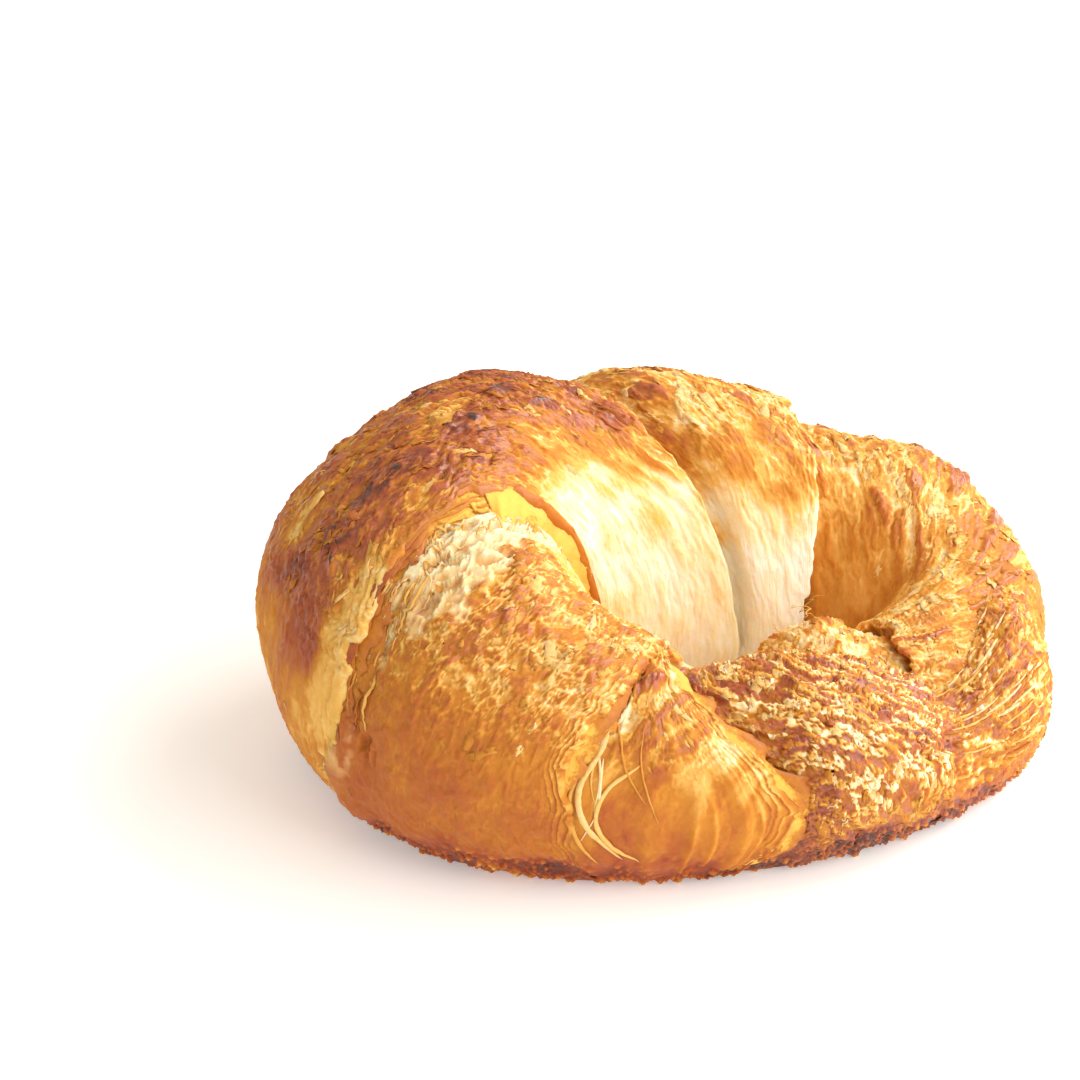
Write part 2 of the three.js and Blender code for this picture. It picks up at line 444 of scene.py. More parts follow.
def open_crumb(band, turn, bent_run, bent_ring, height):
    """The height with the torn side's crumb in it, and masks of the crumb and of its pits."""
    plain, angle = band["plain"], band["angle"]
    to_step, degrees = from_start(turn, angle, band["share"]), np.degrees(angle)
    reach = 1.2 * smooth(degrees, -5, 15)
    across_back = smooth(degrees, 24, 82) * smooth(degrees, 178, 150)
    reach = reach + (13 + 2.5 * smooth(degrees, 90, 115)) * across_back
    crumb = smooth(to_step + 6 * (clouds(plain / 3.5, 81) - 0.5), reach + 0.8, reach - 0.8)
    crumb = crumb * smooth(degrees, -20, 0)
    crumb = crumb * (0.5 + 0.5 * smooth(degrees, 55, 100))  # lower down it shows half as strongly, so the crust's browner colour comes through there: painted shade
    depth, from_wall = cells(bent_run / 2.4, bent_ring / 4.0, 91)
    small_depth, from_small_wall = cells(bent_run / 1.1, bent_ring / 1.9, 93)
    pits = 2.5 * depth * smooth(from_wall, 0.02, 0.3)
    pits = pits + 0.9 * small_depth * smooth(from_small_wall, 0.05, 0.4)
    rise = 1.9 * smooth(to_step, np.maximum(reach, 4), 0) * (1 - 0.5 * smooth(degrees, 98, 112))
    height = (height + rise) * (1 - crumb) + crumb * (0.9 * rise + 0.6 - pits)
    for hole_degrees, from_step, depth in TEARS:
        tear = np.exp(-((degrees - hole_degrees) / 5) ** 2 - ((to_step - from_step) / 0.9) ** 2)
        tear = tear * smooth(clouds(plain / 1.5, 97, 2), 0.2, 0.6)
        # the holes also count as deep pits, which only darkens their colour later: painted shade
        height, pits = height - depth * tear, pits + 9 * tear
    return height, crumb, pits


# %% Dark crumbs at the foot
def fried_foot(band, height, up, wall):
    """The height with the crumbly rim in it, a mask of the rim, and the crumbs on it."""
    plain = band["plain"]
    low = plain[..., 2] + 5 * (clouds(plain / 6, 103, 2) - 0.5)
    rim = smooth(low, RIM_HEIGHT.get(band["name"], 8), 3.0) * smooth(up, -0.97, -0.85) * (1 - wall)
    big = smooth(bubbles(plain / 2.0, 101), 0.5, 0.1) * smooth(clouds(plain / 5, 104, 2), 0.2, 0.5)
    small = smooth(bubbles(plain / 1.1, 102), 0.5, 0.2) * smooth(clouds(plain / 4, 106, 2), 0.2, 0.5)
    beads = np.maximum(big, 0.7 * small)
    crumbly = 0.95 * beads - 0.4 + 0.5 * (clouds(plain / 2.2, 108, 2) - 0.5)
    return height * (1 - 0.6 * rim) + rim * crumbly, rim, beads


# %% The relief of each band
BELLY_LENGTH = 70  # along the roll, in mm


def relief(turn):
    """Height of the detail in mm over one band, with the masks that colour it."""
    band = TURNS[turn]
    name, both = band["name"], band["towards"] == 0
    plain, angle, share = band["plain"], band["angle"], band["share"]
    run, ring = distances(plain)
    slanted = run + SLANT.get(name, 0) * ring
    bent_run = slanted + 1.8 * (clouds(plain / 6, 21) - 0.5) + 0.8 * (clouds(plain / 1.6, 22, 2) - 0.5)
    bent_ring = ring + 2.2 * (clouds(plain / 6, 24) - 0.5) + 1.0 * (clouds(plain / 1.6, 25, 2) - 0.5)
    long, wide = band["grain"]
    up = np.clip(normals_of(plain)[..., 2], -1, 1)
    back = smooth(np.sin(angle), 0.25, 0.85)
    wall = band_wall(angle)
    lumps = clouds(plain / 17, 31, 2) - 0.5
    patch, patch_in = cells(bent_run / (1.8 * long), bent_ring / (1.5 * wide), 41 + turn)
    flake, flake_in = cells(bent_run / (0.8 * long), bent_ring / (0.7 * wide), 61 + turn)
    worm = 1 - np.abs(2 * grain(bent_run, bent_ring, turn, 2.2, 3.4, 71, 2) - 1)
    fine = grain(bent_run, bent_ring, turn, 0.5, 0.9, 81, 2) - 0.5
    gate = smooth(clouds(plain / 3.2, 35, 2), 0.3, 0.6)
    net = np.maximum(smooth(patch_in, 0.17, 0.02), 0.8 * smooth(flake_in, 0.2, 0.02)) * gate
    blister = (patch - 0.45) * smooth(patch_in, 0, 0.35)
    leaf = (flake - 0.5) * smooth(flake_in, 0, 0.22)
    flank = CRISP_FLANK.get(name, 0.22)
    crisp = (flank + (1 - flank) * back) * (1 - 0.75 * wall)
    fleck, fleck_in = cells(bent_run / 1.1, bent_ring / 1.9, 81 + turn)
    fleck = smooth(fleck, 0.37, 0.53) * smooth(fleck_in, 0.05, 0.22) * FLECKS.get(name, 0.2) * crisp
    if name == "front_arm":
        fleck = fleck * smooth(share, 0.03, 0.2)  # the strip beside the fold is smooth
    wrinkle = WRINKLES.get(name, 0.2)
    height = 1.3 * lumps + crisp * (1.1 * blister + 0.7 * leaf + 0.3 * net) + wrinkle * worm**2 + 0.22 * fine
    streak = grain(bent_run, bent_ring, turn, 1.5, 7.0, 107) - 0.5
    pleat = np.zeros_like(height)
    if name == "front_fold":
        pleat = 1 - np.abs(2 * clouds(np.stack([share * 9, ring / 24, 0 * ring], -1), 109, 2) - 1)
    height = height + 0.3 * fleck + 0.7 * wall * streak + 0.8 * pleat**2 * (1 - 0.5 * back)
    crumb, pits = np.zeros_like(height), np.zeros_like(height)
    if turn == CRUMB_SIDE:
        height, crumb, pits = open_crumb(band, turn, bent_run, bent_ring, height)
    to_edge = share * BELLY_LENGTH if both else (1 - share) * np.median(run[-1])
    if turn in (0, len(TURNS) - 1):
        to_edge = to_edge + 99  # the tips have no free edge
    layered = smooth(to_edge, 7, 1) * (0.3 + 0.7 * (1 - wall))
    saw = (to_edge + 2.4 * (clouds(plain / 4, 85, 2) - 0.5)) / 1.5 % 1
    height = height * (1 - 0.5 * layered) + 0.4 * layered * (saw - 0.6)
    height, rim, beads = fried_foot(band, height, up, wall)
    strings = 1 - np.abs(2 * grain(bent_run, bent_ring, turn, 7.0, 0.8, 105, 2) - 1)
    strings = strings**2 * STRINGS.get(name, 0)
    height = height + 0.5 * strings
    flat = smooth(up, -0.85, -0.97)
    edge = np.ones_like(share)
    edge[:STILL_ROWS] = 0
    hem, ridge = np.zeros_like(height), np.zeros_like(height)
    if name == "belly":
        from_front = from_start(turn, angle, share)
        flank = smooth(np.degrees(angle), 75, 50)
        hem = smooth(from_front, 2.2, 0.9) * (1 - flat) * (1 - flank)
        ridge = smooth(from_front, 4, 2.4) * smooth(np.degrees(angle), -10, 8) * flank
    band.update(
        run=run, ring=ring, up=up, wall=wall, flat=flat, crisp=crisp, blister=blister, leaf=leaf, net=net,
        worm=worm, fleck=fleck, strings=strings, streak=streak, pleat=pleat, crumb=crumb, pits=pits,
        rim=rim, beads=beads, layered=layered, saw=saw, hem=hem, ridge=ridge,
    )
    return height * (1 - flat) * edge


for turn, band in enumerate(TURNS):
    height = relief(turn)
    skin = band["plain"] + normals_of(band["plain"]) * height[..., None]
    skin[..., 2] = np.maximum(skin[..., 2], 0)
    skin[:, -1] = skin[:, 0]
    band["skin"] = skin + SHIFT
    band["normal"] = normals_of(skin)
    print(band["name"], "relief from", round(height.min(), 2), "to", round(height.max(), 2), "mm")

# %% [markdown]
# ## How brown each place is
# Baking browns what faces up and stands proud. The flanks are golden, the wall of the hollow stays
# almost as pale as dough, and the foot, which lay in melted butter on the tray, is darkest. Low on
# the flanks the browning is partly painted contact shade from the table.
# bake is 0 for raw dough and 1 for burnt. Three numbers for each band give it on the outer flank,
# on the back and on the wall of the hollow, and the grain breaks it up.

# %% Browning
BROWN = {
    "front_tip": (0.56, 0.62, 0.45),
    "front_arm": (0.7, 0.9, 0.42),
    "front_fold": (0.55, 0.52, 0.26),
    # the front shoulder's flank, turned from the windows, is browner than its back: partly its crust, partly
    # painted shade
    "front_shoulder": (0.62, 0.5, 0.2),
    "belly": (0.47, 0.9, 0.08),
    "back_shoulder": (0.52, 0.48, 0.01),
    "back_arm": (0.5, 0.45, 0.42),
    "back_tip": (0.28, 0.4, 0.25),
}
CONTRAST = {"front_arm": 0.3, "front_shoulder": 0.28}  # how much browner a blister is, elsewhere 0.56
CREAM = {"front_shoulder": 0.36, "belly": 0.34}  # how pale the net between the patches is, elsewhere 0.26
PINCH_AT, PINCH_SIZE = (60, 8, 14), 14  # in mm, where the front tip was pinched and browned


def browning(band):
    """How brown the skin of a band is, from 0 to 1."""
    flank, top, inside = BROWN[band["name"]]
    place = band["plain"]
    patches = clouds(place / 12, 111, 2) - 0.5
    pale_from = 0.42 if band["name"] == "back_shoulder" else 0.18
    pale = smooth(-np.cos(band["angle"]) + 0.5 * patches, pale_from, pale_from + 0.52)
    bake = flank + (inside - flank) * pale
    bake = bake + (top - bake) * smooth(band["up"] + 0.8 * patches, 0.1, 0.98) * (1 - 0.75 * pale)
    calm = 1 - 0.7 * band["wall"]
    contrast, cream = CONTRAST.get(band["name"], 0.56), CREAM.get(band["name"], 0.26)
    bake = bake + calm * 0.22 * patches + band["crisp"] * (contrast * band["blister"] + 0.32 * band["leaf"])
    bake = bake - band["crisp"] * cream * band["net"] - 0.5 * band["fleck"]
    bake = bake + calm * 0.07 * (band["worm"] ** 2 - 0.3)
    bake = bake - band["layered"] * (0.08 + 0.34 * (band["saw"] - 0.5))
    bake = bake + (0.62 - bake) * 0.85 * band["hem"]
    bake = np.maximum(bake, (0.22 - 0.14 * np.minimum(band["fleck"], 1)) * (1 - band["wall"]))
    bake = bake - 0.45 * np.maximum(bake - 0.62, 0)
    # the crumb is browner the deeper its pits and holes: painted shade in the hollows
    bake = bake * (1 - band["crumb"]) + (0.06 + 0.13 * band["pits"]) * band["crumb"]
    bake = bake + (0.25 - bake) * 0.8 * band["ridge"]
    # browner towards the table: partly the fried foot, partly painted contact shade
    low = smooth(place[..., 2] + 9 * patches, 17, 4) * (1 - band["wall"])
    bake = bake + (0.62 - bake) * low * 0.6
    bake = bake + 0.34 * (0.45 - band["strings"]) * (band["strings"] > 0)
    bake = bake + 0.12 * band["wall"] * band["streak"]
    bake = bake + 0.16 * (0.4 - band["pleat"]) * (band["pleat"] > 0)
    bake = bake + (0.88 - 0.56 * band["beads"] ** 2 + 0.3 * patches - bake) * band["rim"] * 0.95
    pinch = np.exp(-(((place - PINCH_AT) / PINCH_SIZE) ** 2).sum(-1))
    bake = bake + (0.6 - bake) * 0.6 * pinch * (1 - band["rim"])
    return np.clip(bake + (0.82 + 0.2 * patches - bake) * band["flat"], 0, 1)


for band in TURNS:
    band["bake"] = browning(band)
    print(band["name"], "bakes to", round(float(band["bake"].mean()), 2), "on average")

# %% [markdown]
# ## Making the bands
# Each band starts as a flat grid primitive with one row for each ring. Its points are then moved
# to their places, as if the sheet were wrapped round the roll, its two ends are drawn together to
# a point inside the neighbours, and the doubled points are merged. The distances over the skin go
# into a UV map, in metres, and the browning and crumb go into attributes for the material.

# %% From a flat sheet to a closed band
def select_only(piece):
    bpy.ops.object.select_all(action="DESELECT")
    piece.select_set(True)
    bpy.context.view_layer.objects.active = piece


def closed_and_smooth(piece):
    """Merges the doubled points of a piece, turns its faces outwards and shades it smooth."""
    select_only(piece)
    bpy.ops.object.mode_set(mode="EDIT")
    bpy.ops.mesh.select_all(action="SELECT")
    bpy.ops.mesh.remove_doubles(threshold=1e-6)
    bpy.ops.mesh.normals_make_consistent(inside=False)
    bpy.ops.object.mode_set(mode="OBJECT")
    bpy.ops.object.shade_smooth()
    return piece


def corners_of(mesh):
    """The point that each corner of each face stands on."""
    corner = np.empty(len(mesh.loops), int)
    mesh.loops.foreach_get("vertex_index", corner)
    return corner


def wrapped_sheet(name, skin, flow, masks):
    """A closed sleeve over a grid of rings. flow is its UV map, masks its attributes."""
    rows, columns = skin.shape[:2]
    bpy.ops.mesh.primitive_grid_add(x_subdivisions=columns - 1, y_subdivisions=rows - 1, size=2)
    piece = bpy.context.object
    piece.name = piece.data.name = name
    mesh = piece.data
    flat = np.empty(len(mesh.vertices) * 3)
    mesh.vertices.foreach_get("co", flat)
    flat = flat.reshape(-1, 3)
    column = np.rint((flat[:, 0] + 1) / 2 * (columns - 1)).astype(int)
    row = np.rint((flat[:, 1] + 1) / 2 * (rows - 1)).astype(int)
    mesh.vertices.foreach_set("co", (skin[row, column] * MM).astype(np.float32).ravel())
    mesh.uv_layers[0].name = "flow"
    on_corners = (flow[row, column][corners_of(mesh)] * MM).astype(np.float32)
    mesh.uv_layers[0].uv.foreach_set("vector", on_corners.ravel())
    for mask, values in masks.items():
        attribute = mesh.attributes.new(mask, "FLOAT", "POINT")
        attribute.data.foreach_set("value", values[row, column].astype(np.float32))
    mesh.update()
    return closed_and_smooth(piece)


def with_ends(values):
    """The same grid with its first and last row drawn together to a point."""
    first = values[:1].mean(axis=1, keepdims=True) + 0 * values[:1]
    last = values[-1:].mean(axis=1, keepdims=True) + 0 * values[-1:]
    return np.concatenate([first, values, last])


pieces = []
for band in TURNS:
    flow = with_ends(np.stack([band["run"], band["ring"]], -1))
    masks = {name: with_ends(band[name]) for name in ("bake", "crumb", "crisp")}
    pieces.append(wrapped_sheet("turn_" + band["name"], with_ends(band["skin"]), flow, masks))
    print(pieces[-1].name, len(pieces[-1].data.polygons), "faces")

# %% [markdown]
# ## Copies that lie on the skin
# Loose flakes, torn layers and strands all sit on the bands. Each is modelled once as a small
# flat sheet with a thickness, in a unit square, and every copy is bent to the skin below it: its
# two flat directions become steps along and round the roll, and its thickness points outwards.

# %% Reading a band's skin between its points
def sample(grid, row, column):
    """Values of a grid at fractional rows and columns."""
    row = np.clip(row, 0, grid.shape[0] - 1.001)
    column = np.clip(column, 0, grid.shape[1] - 1.001)
    i, j = np.floor(row).astype(int), np.floor(column).astype(int)
    f, g = row - i, column - j
    if grid.ndim == 3:
        f, g = f[..., None], g[..., None]
    low = grid[i, j] * (1 - g) + grid[i, j + 1] * g
    high = grid[i + 1, j] * (1 - g) + grid[i + 1, j + 1] * g
    return low * (1 - f) + high * f


def unit_sheet(along_cells, across_cells, solid=True):
    """Corners, from -1 to 1 flat and -1 to 0 in thickness, and faces of one thin sheet."""
    bpy.ops.mesh.primitive_grid_add(x_subdivisions=along_cells, y_subdivisions=across_cells, size=2)
    sheet = bpy.context.object
    if solid:
        thick = sheet.modifiers.new("thick", "SOLIDIFY")
        thick.thickness = 1
        bpy.ops.object.modifier_apply(modifier="thick")
    corners = np.array([v.co for v in sheet.data.vertices])
    faces = np.array([list(p.vertices) for p in sheet.data.polygons])
    bpy.data.objects.remove(sheet)
    return corners, faces


def joined_copies(name, corners, faces, masks):
    """One piece from many bent copies. corners is copies x points x 3, in mm."""
    copies, points = corners.shape[:2]
    all_faces = (faces[None] + (np.arange(copies) * points)[:, None, None]).reshape(-1, faces.shape[1])
    mesh = bpy.data.meshes.new(name)
    mesh.from_pydata((corners.reshape(-1, 3) * MM).tolist(), [], all_faces.tolist())
    for mask, values in masks.items():
        attribute = mesh.attributes.new(mask, "FLOAT", "POINT")
        attribute.data.foreach_set("value", (values + 0 * corners[..., 0]).astype(np.float32).ravel())
    x, y, z = (corners[..., n] for n in range(3))
    spread = np.stack([x + z, y - z], -1).reshape(-1, 2)
    flow = mesh.uv_layers.new(name="flow")
    flow.uv.foreach_set("vector", (spread[corners_of(mesh)] * MM).astype(np.float32).ravel())
    mesh.update()
    piece = bpy.data.objects.new(name, mesh)
    bpy.context.scene.collection.objects.link(piece)
    pieces.append(closed_and_smooth(piece))
    print(name, copies, "copies,", len(mesh.polygons), "faces")


# %% [markdown]
# ## Loose flakes
# Crisp shards of the outermost layer, paler than what they lie on, lifted at one end. They are
# thickest on the browned backs, and most of them lie round the roll, as the dough was stretched.

# %% Scatter the flakes
FLAKE_THICKNESS = 0.07


def flakes_on(turn, count, seed, half_length, lift):
    """Bent copies of the unit flake on one band, and how brown each point of them is."""
    band = TURNS[turn]
    skin, normal = band["skin"], band["normal"]
    random = np.random.default_rng(seed)
    step_row = np.linalg.norm(np.gradient(skin, axis=0), axis=-1)
    step_column = np.linalg.norm(np.gradient(skin, axis=1), axis=-1)
    likely = step_row * step_column * (0.01 + band["crisp"] ** 3)
    likely = likely * (1 - band["flat"]) * (1 - 0.8 * band["wall"])
    likely = likely * (band["plain"][..., 2] > 2.5) * (1 - band["crumb"])
    likely[:12], likely[-14:] = 0, 0
    chosen = random.choice(likely.size, count, p=(likely / likely.sum()).ravel())
    row, column = np.divmod(chosen, likely.shape[1])
    u, v, w = (FLAKE[:, n][None, :] for n in range(3))
    long = half_length * random.lognormal(0, 0.4, count)[:, None]
    wide = long * random.uniform(0.25, 0.55, count)[:, None]
    turned = random.normal(0, 0.4, count)[:, None] + (0.5 if band["name"] == "front_arm" else 0)
    if turn == 0:
        turned = turned + math.pi / 2
    own = np.stack([np.rint(u * 9) + 0 * long, np.rint(v * 5) + 0 * long, chosen[:, None] + 0 * u], -1)
    jag = 1 + 0.8 * (random_at(own, seed) - 0.5)
    x = u * long * jag
    y = v * wide * (1 - 0.5 * np.abs(u) ** 2.5) * jag
    round_roll = x * np.cos(turned) - y * np.sin(turned)
    along_roll = x * np.sin(turned) + y * np.cos(turned)
    at_row = row[:, None] + along_roll / step_row[row, column][:, None]
    at_column = column[:, None] + round_roll / step_column[row, column][:, None]
    end = random.choice([-1, 1], count)[:, None]
    side = random.choice([-1, 0, 1], count)[:, None]
    raised = ((1 + end * u) / 2) ** 2 * 0.8 + np.abs(side) * ((1 + side * v) / 2) ** 1.5 * 0.4
    height = -0.1 + lift * random.uniform(0.3, 1, count)[:, None] * raised * np.minimum(1, long / 1.5)
    where = sample(skin, at_row, at_column)
    out = sample(normal, at_row, at_column)
    corners = where + out * (height + FLAKE_THICKNESS * (w + 1))[..., None]
    corners[..., 2] = np.maximum(corners[..., 2], 0.1)
    paler = random.uniform(0.0, 0.22, count)[:, None]
    bake = np.clip(band["bake"][row, column][:, None] - paler - 0.06 * raised, 0.24, 0.8)
    return corners, bake


FLAKE, flake_faces = unit_sheet(5, 2)
print("one flake has", len(flake_faces), "faces")
FLAKE_GROUPS = {
    "flakes_front": [(0, 120, 1.0, 0.4), (1, 620, 0.8, 0.45), (2, 60, 0.8, 0.5), (3, 160, 1.0, 0.35)],
    "flakes_belly": [(4, 420, 1.1, 0.5)],
    "flakes_back": [(5, 200, 1.1, 0.45), (6, 300, 1.0, 0.45), (7, 200, 0.9, 0.6)],
}
for name, groups in FLAKE_GROUPS.items():
    made = [flakes_on(turn, count, 200 + turn, length, lift) for turn, count, length, lift in groups]
    joined_copies(name, np.concatenate([c for c, _ in made]), flake_faces,
                  {"bake": np.concatenate([b for _, b in made]), "crumb": 0.0, "crisp": 0.5})

# %% [markdown]
# ## Torn layers beside the belly
# Where the belly's band tore away from the front shoulder, the edges of its layers show one under
# the other, like the pages of a book, and a thin sheet has lifted off the crumb. Their colour
# holds painted shade low on the flank, and a painted yellow glow of light shining through where
# they are pale.

# %% Torn layers
LAYER_THICKNESS = 0.15


def torn_layer(turn, from_degrees, to_degrees, inset, overhang, below, curl, seed, browner=0.15):
    """One sheet along the free edge of a band, nearest the front tip. Lengths are in mm."""
    band = TURNS[turn]
    u, v, w = (STRIP[:, n] for n in range(3))
    angle = np.radians(from_degrees + (to_degrees - from_degrees) * (u + 1) / 2)
    taper = smooth(1 - np.abs(u), 0, 0.25)
    wave, fray = (cloud(np.stack([angle * MEAN_RADIUS / size, 0 * u, 0 * u + seed], -1), seed + extra) - 0.5
                  for size, extra in ((5, 0), (1.3, 50)))
    reach = overhang * taper * (1 + 1.3 * wave + 0.6 * fray)
    out = (v + 1) / 2
    ahead = start_of(turn, angle) - (reach * out - inset * (1 - out)) / STATION_GAP
    level = band["swell"] * 0.9 * fading(angle) - below + curl * taper * out**2 * (1 + wave)
    base, higher = skin_point(ahead, angle, level), skin_point(ahead, angle, level + 0.3)
    up = (higher - base) / np.linalg.norm(higher - base, axis=-1, keepdims=True)
    thickness = LAYER_THICKNESS * (1.2 - 0.7 * out)
    # painted shade: layers low on the outer flank, turned away from the windows, are made browner
    painted_shade = smooth(np.degrees(angle), 100, 60)
    bake = np.clip(browner + 0.2 * painted_shade + 0.5 * np.maximum(out - 0.6, 0) + 0.25 * wave, 0.02, 0.8)
    return base + up * (thickness * w)[:, None] + SHIFT, bake


STRIP, strip_faces = unit_sheet(150, 4)
LAYERS = [
    (4, 100, 160, 0.8, 7.5, -0.15, -3.2, 304, 0.29),  # the lifted sheet, which slopes to the crumb
    (4, 92, 165, 0.8, 8.5, 0.5, -3.2, 303, 0.36),
    (3, 5, 100, 3.5, 1.2, 0.7, 0.1, 306),
    (3, -5, 70, 4.0, 2.2, 1.4, 0.0, 307),
    (2, -34, 96, 3.0, 1.5, 0.3, 0.6, 308),
    (2, -38, 80, 3.0, 2.6, 0.8, 0.3, 309),
]
for n in range(7):  # the pages of the belly's own edge, each deeper, further out and paler
    sizes = (3.5, 0.7 + 0.5 * n, 0.4 + 0.35 * n, 0.1)
    LAYERS.append((4, -14 + 3 * n, 150 - 8 * n, *sizes, 320 + n, 0.34 - 0.05 * n))
layers = [torn_layer(*layer) for layer in LAYERS]
joined_copies("torn_layers", np.stack([c for c, _ in layers]), strip_faces,
              {"bake": np.stack([b for _, b in layers]), "crumb": 0.0, "crisp": 0.6})

# %% [markdown]
# ## Strands
# Thin strings of dough bridge the groove beside the front fold, more of them fan out where the
# front tip was pinched, and a few hair-thin shreds stand up from the back tip. Each is a flat
# sheet rolled into a tube that follows a few points over the skin and closes at both ends.

# %% Strands and hairs
TUBE_RINGS, TUBE_SIDES = 22, 6


def on_band(turn, share, degrees):
    """Row and column of a band's grid at a share of its length and an angle round it."""
    band = TURNS[turn]
    lead = len(LIP_ROWS) if band["towards"] == 0 else len(TUCK_ROWS)
    column = np.interp(np.radians(degrees), band["angle"][0], np.arange(band["angle"].shape[1]))
    return lead + share * (band["rings"] - 1), column


def strand(turn, knots, radius, bake):
    """Corners of one tube over a band. knots are share, degrees and height off the skin in mm."""
    band = TURNS[turn]
    knots = np.array(knots, float)
    t = np.linspace(0, 1, TUBE_RINGS + 1)
    share, degrees, off = (spline(knots[:, n], t * (len(knots) - 1)) for n in range(3))
    row, column = on_band(turn, share, degrees)
    out = sample(band["normal"], row, column)
    line = sample(band["skin"], row, column) + out * off[:, None]
    across = np.cross(out, np.gradient(line, axis=0))
    across /= np.maximum(np.linalg.norm(across, axis=-1, keepdims=True), 1e-9)
    slim = radius * np.sin(np.pi * t) ** 0.5 * (0.75 + 0.5 * cloud(line / 1.7, 402))
    i = np.rint((TUBE[:, 1] + 1) / 2 * TUBE_RINGS).astype(int)
    side, lift = np.cos(np.pi * TUBE[:, 0]), 0.6 * np.sin(np.pi * TUBE[:, 0])
    return line[i] + (across[i] * side[:, None] + out[i] * lift[:, None]) * slim[i][:, None], bake + 0 * side


TUBE, tube_faces = unit_sheet(TUBE_SIDES, TUBE_RINGS, solid=False)
STRANDS = [
    (2, [(0.02, 58, 0.2), (0.09, 36, 0.2), (0.05, 14, 0.3), (0.10, -6, 0.2), (0.22, -24, 0.0)], 0.55, 0.24),
    (2, [(0.30, 30, 0.0), (0.16, 16, 0.2), (0.12, 0, 0.3), (0.17, -14, 0.2), (0.30, -26, 0.0)], 0.45, 0.26),
    (2, [(0.00, 50, 0.2), (0.04, 30, 0.2), (0.02, 8, 0.3), (0.05, -12, 0.2), (0.10, -28, 0.0)], 0.4, 0.36),
    (7, [(0.40, 96, 0.0), (0.44, 100, 2.2), (0.52, 102, 4.4)], 0.14, 0.3),
    (7, [(0.50, 92, 0.0), (0.46, 98, 2.0), (0.36, 104, 3.8)], 0.14, 0.35),
    (7, [(0.56, 88, 0.0), (0.62, 94, 1.8), (0.66, 102, 3.2)], 0.12, 0.3),
]


def lay(turn, shares, degrees, off, radius, bake):
    """Adds a strand through a few places, given as shares of the band, degrees and mm off the skin."""
    STRANDS.append((turn, list(zip(shares, degrees, off)), radius, bake))


random = np.random.default_rng(411)
for n in range(6):  # fine strings in the groove
    share, top = random.uniform(0.0, 0.3), random.uniform(10, 60)
    drift = random.uniform(-0.08, 0.12, 3).cumsum()
    lay(2, (share, *(share + drift)), (top, top - 14, top - 30, top - 46), (0, 0.2, 0.2, 0),
        random.uniform(0.14, 0.28), random.uniform(0.12, 0.5))
for n in range(60):  # the fan of the pinch
    share, way = random.uniform(0.0, 0.4), random.uniform(0, 125)
    spread, reach = (way - 65) * 0.15, random.uniform(0.1, 0.24)
    shares = (share, share + reach * 0.33, share + reach * 0.66, share + reach)
    lay(0, shares, (way, way + spread * 0.4, way + spread * 0.7, way + spread), (0, 0.12, 0.12, 0),
        random.uniform(0.16, 0.3), random.choice([0.2, 0.28, 0.58]))
for n in range(16):  # layers' edges seen side-on beside the belly
    share, top = random.uniform(0.0, 0.16), random.uniform(25, 80)
    length = random.uniform(18, 40)
    degrees = (top, top - length * 0.33, top - length * 0.66, top - length)
    lay(3, (share, share + 0.01, share, share + 0.02), degrees, (0, 0.35, 0.35, 0),
        random.uniform(0.16, 0.3), random.choice([0.3, 0.42, 0.62]))
for n in range(60):  # the web of the open crumb
    share, start = random.uniform(0.0, 0.2), random.uniform(50, 145)
    length, drift = random.uniform(6, 22), random.uniform(-0.03, 0.05, 3)
    degrees = (start, start + length * 0.33, start + length * 0.66, start + length)
    lay(3, (share, *(share + drift)), degrees, (-0.2, 0.5, 0.5, -0.2),
        random.uniform(0.1, 0.26), random.uniform(0.14, 0.42))
strands = [strand(*one) for one in STRANDS]
joined_copies("strands", np.stack([c for c, _ in strands]), tube_faces,
              {"bake": np.stack([b for _, b in strands]), "crumb": 0.0, "crisp": 0.3})

# %% [markdown]
# ## Shader maths as plain expressions
# A finish is easier to read as a sum than as twenty noodles. This small class wraps a socket, so
# that a + b adds a Math node, and node() adds any other kind.

# %% A socket that can be added and multiplied
class Socket:
    def __init__(self, tree, socket=None):
        self.tree, self.socket = tree, socket

    def node(self, kind, settings=None, out=0, **inputs):
        """Adds a node, sets it up, fills or links its inputs, and gives one of its outputs."""
        made = self.tree.nodes.new("ShaderNode" + kind)
        for name, value in (settings or {}).items():
            if name == "stops":
                ramp = made.color_ramp
                while len(ramp.elements) < len(value):
                    ramp.elements.new(0.5)
                for stop, (position, colour) in zip(ramp.elements, value):
                    stop.position, stop.color = position, colour
            else:
                setattr(made, name, value)
        for name, value in inputs.items():
            place = int(name[1:]) if name[1:].isdigit() and name[0] == "i" else name.replace("_", " ")
            if isinstance(value, Socket):
                self.tree.links.new(value.socket, made.inputs[place])
            else:
                made.inputs[place].default_value = value
        return Socket(self.tree, made.outputs[out])

    def maths(self, operation, a, b, clamp=False):
        return self.node("Math", {"operation": operation, "use_clamp": clamp}, i0=a, i1=b)

    def __add__(self, other):
        return self.maths("ADD", self, other)

    def __sub__(self, other):
        return self.maths("SUBTRACT", self, other)

    def __mul__(self, other):
        return self.maths("MULTIPLY", self, other)

    def __rsub__(self, other):
        return self.maths("SUBTRACT", other, self)

    __radd__, __rmul__ = __add__, __mul__

    def clamped(self):
        return self.maths("ADD", self, 0.0, clamp=True)

    def between(self, low, high):
        """0 where this is low, 1 where it is high."""
        curve = {"interpolation_type": "SMOOTHSTEP"}
        return self.node("MapRange", curve, Value=self, From_Min=low, From_Max=high)

    def mixed(self, low, high):
        """The colour low where this is 0 and high where it is 1."""
        return self.node("Mix", {"data_type": "RGBA"}, out=2, i0=self, i6=low, i7=high)
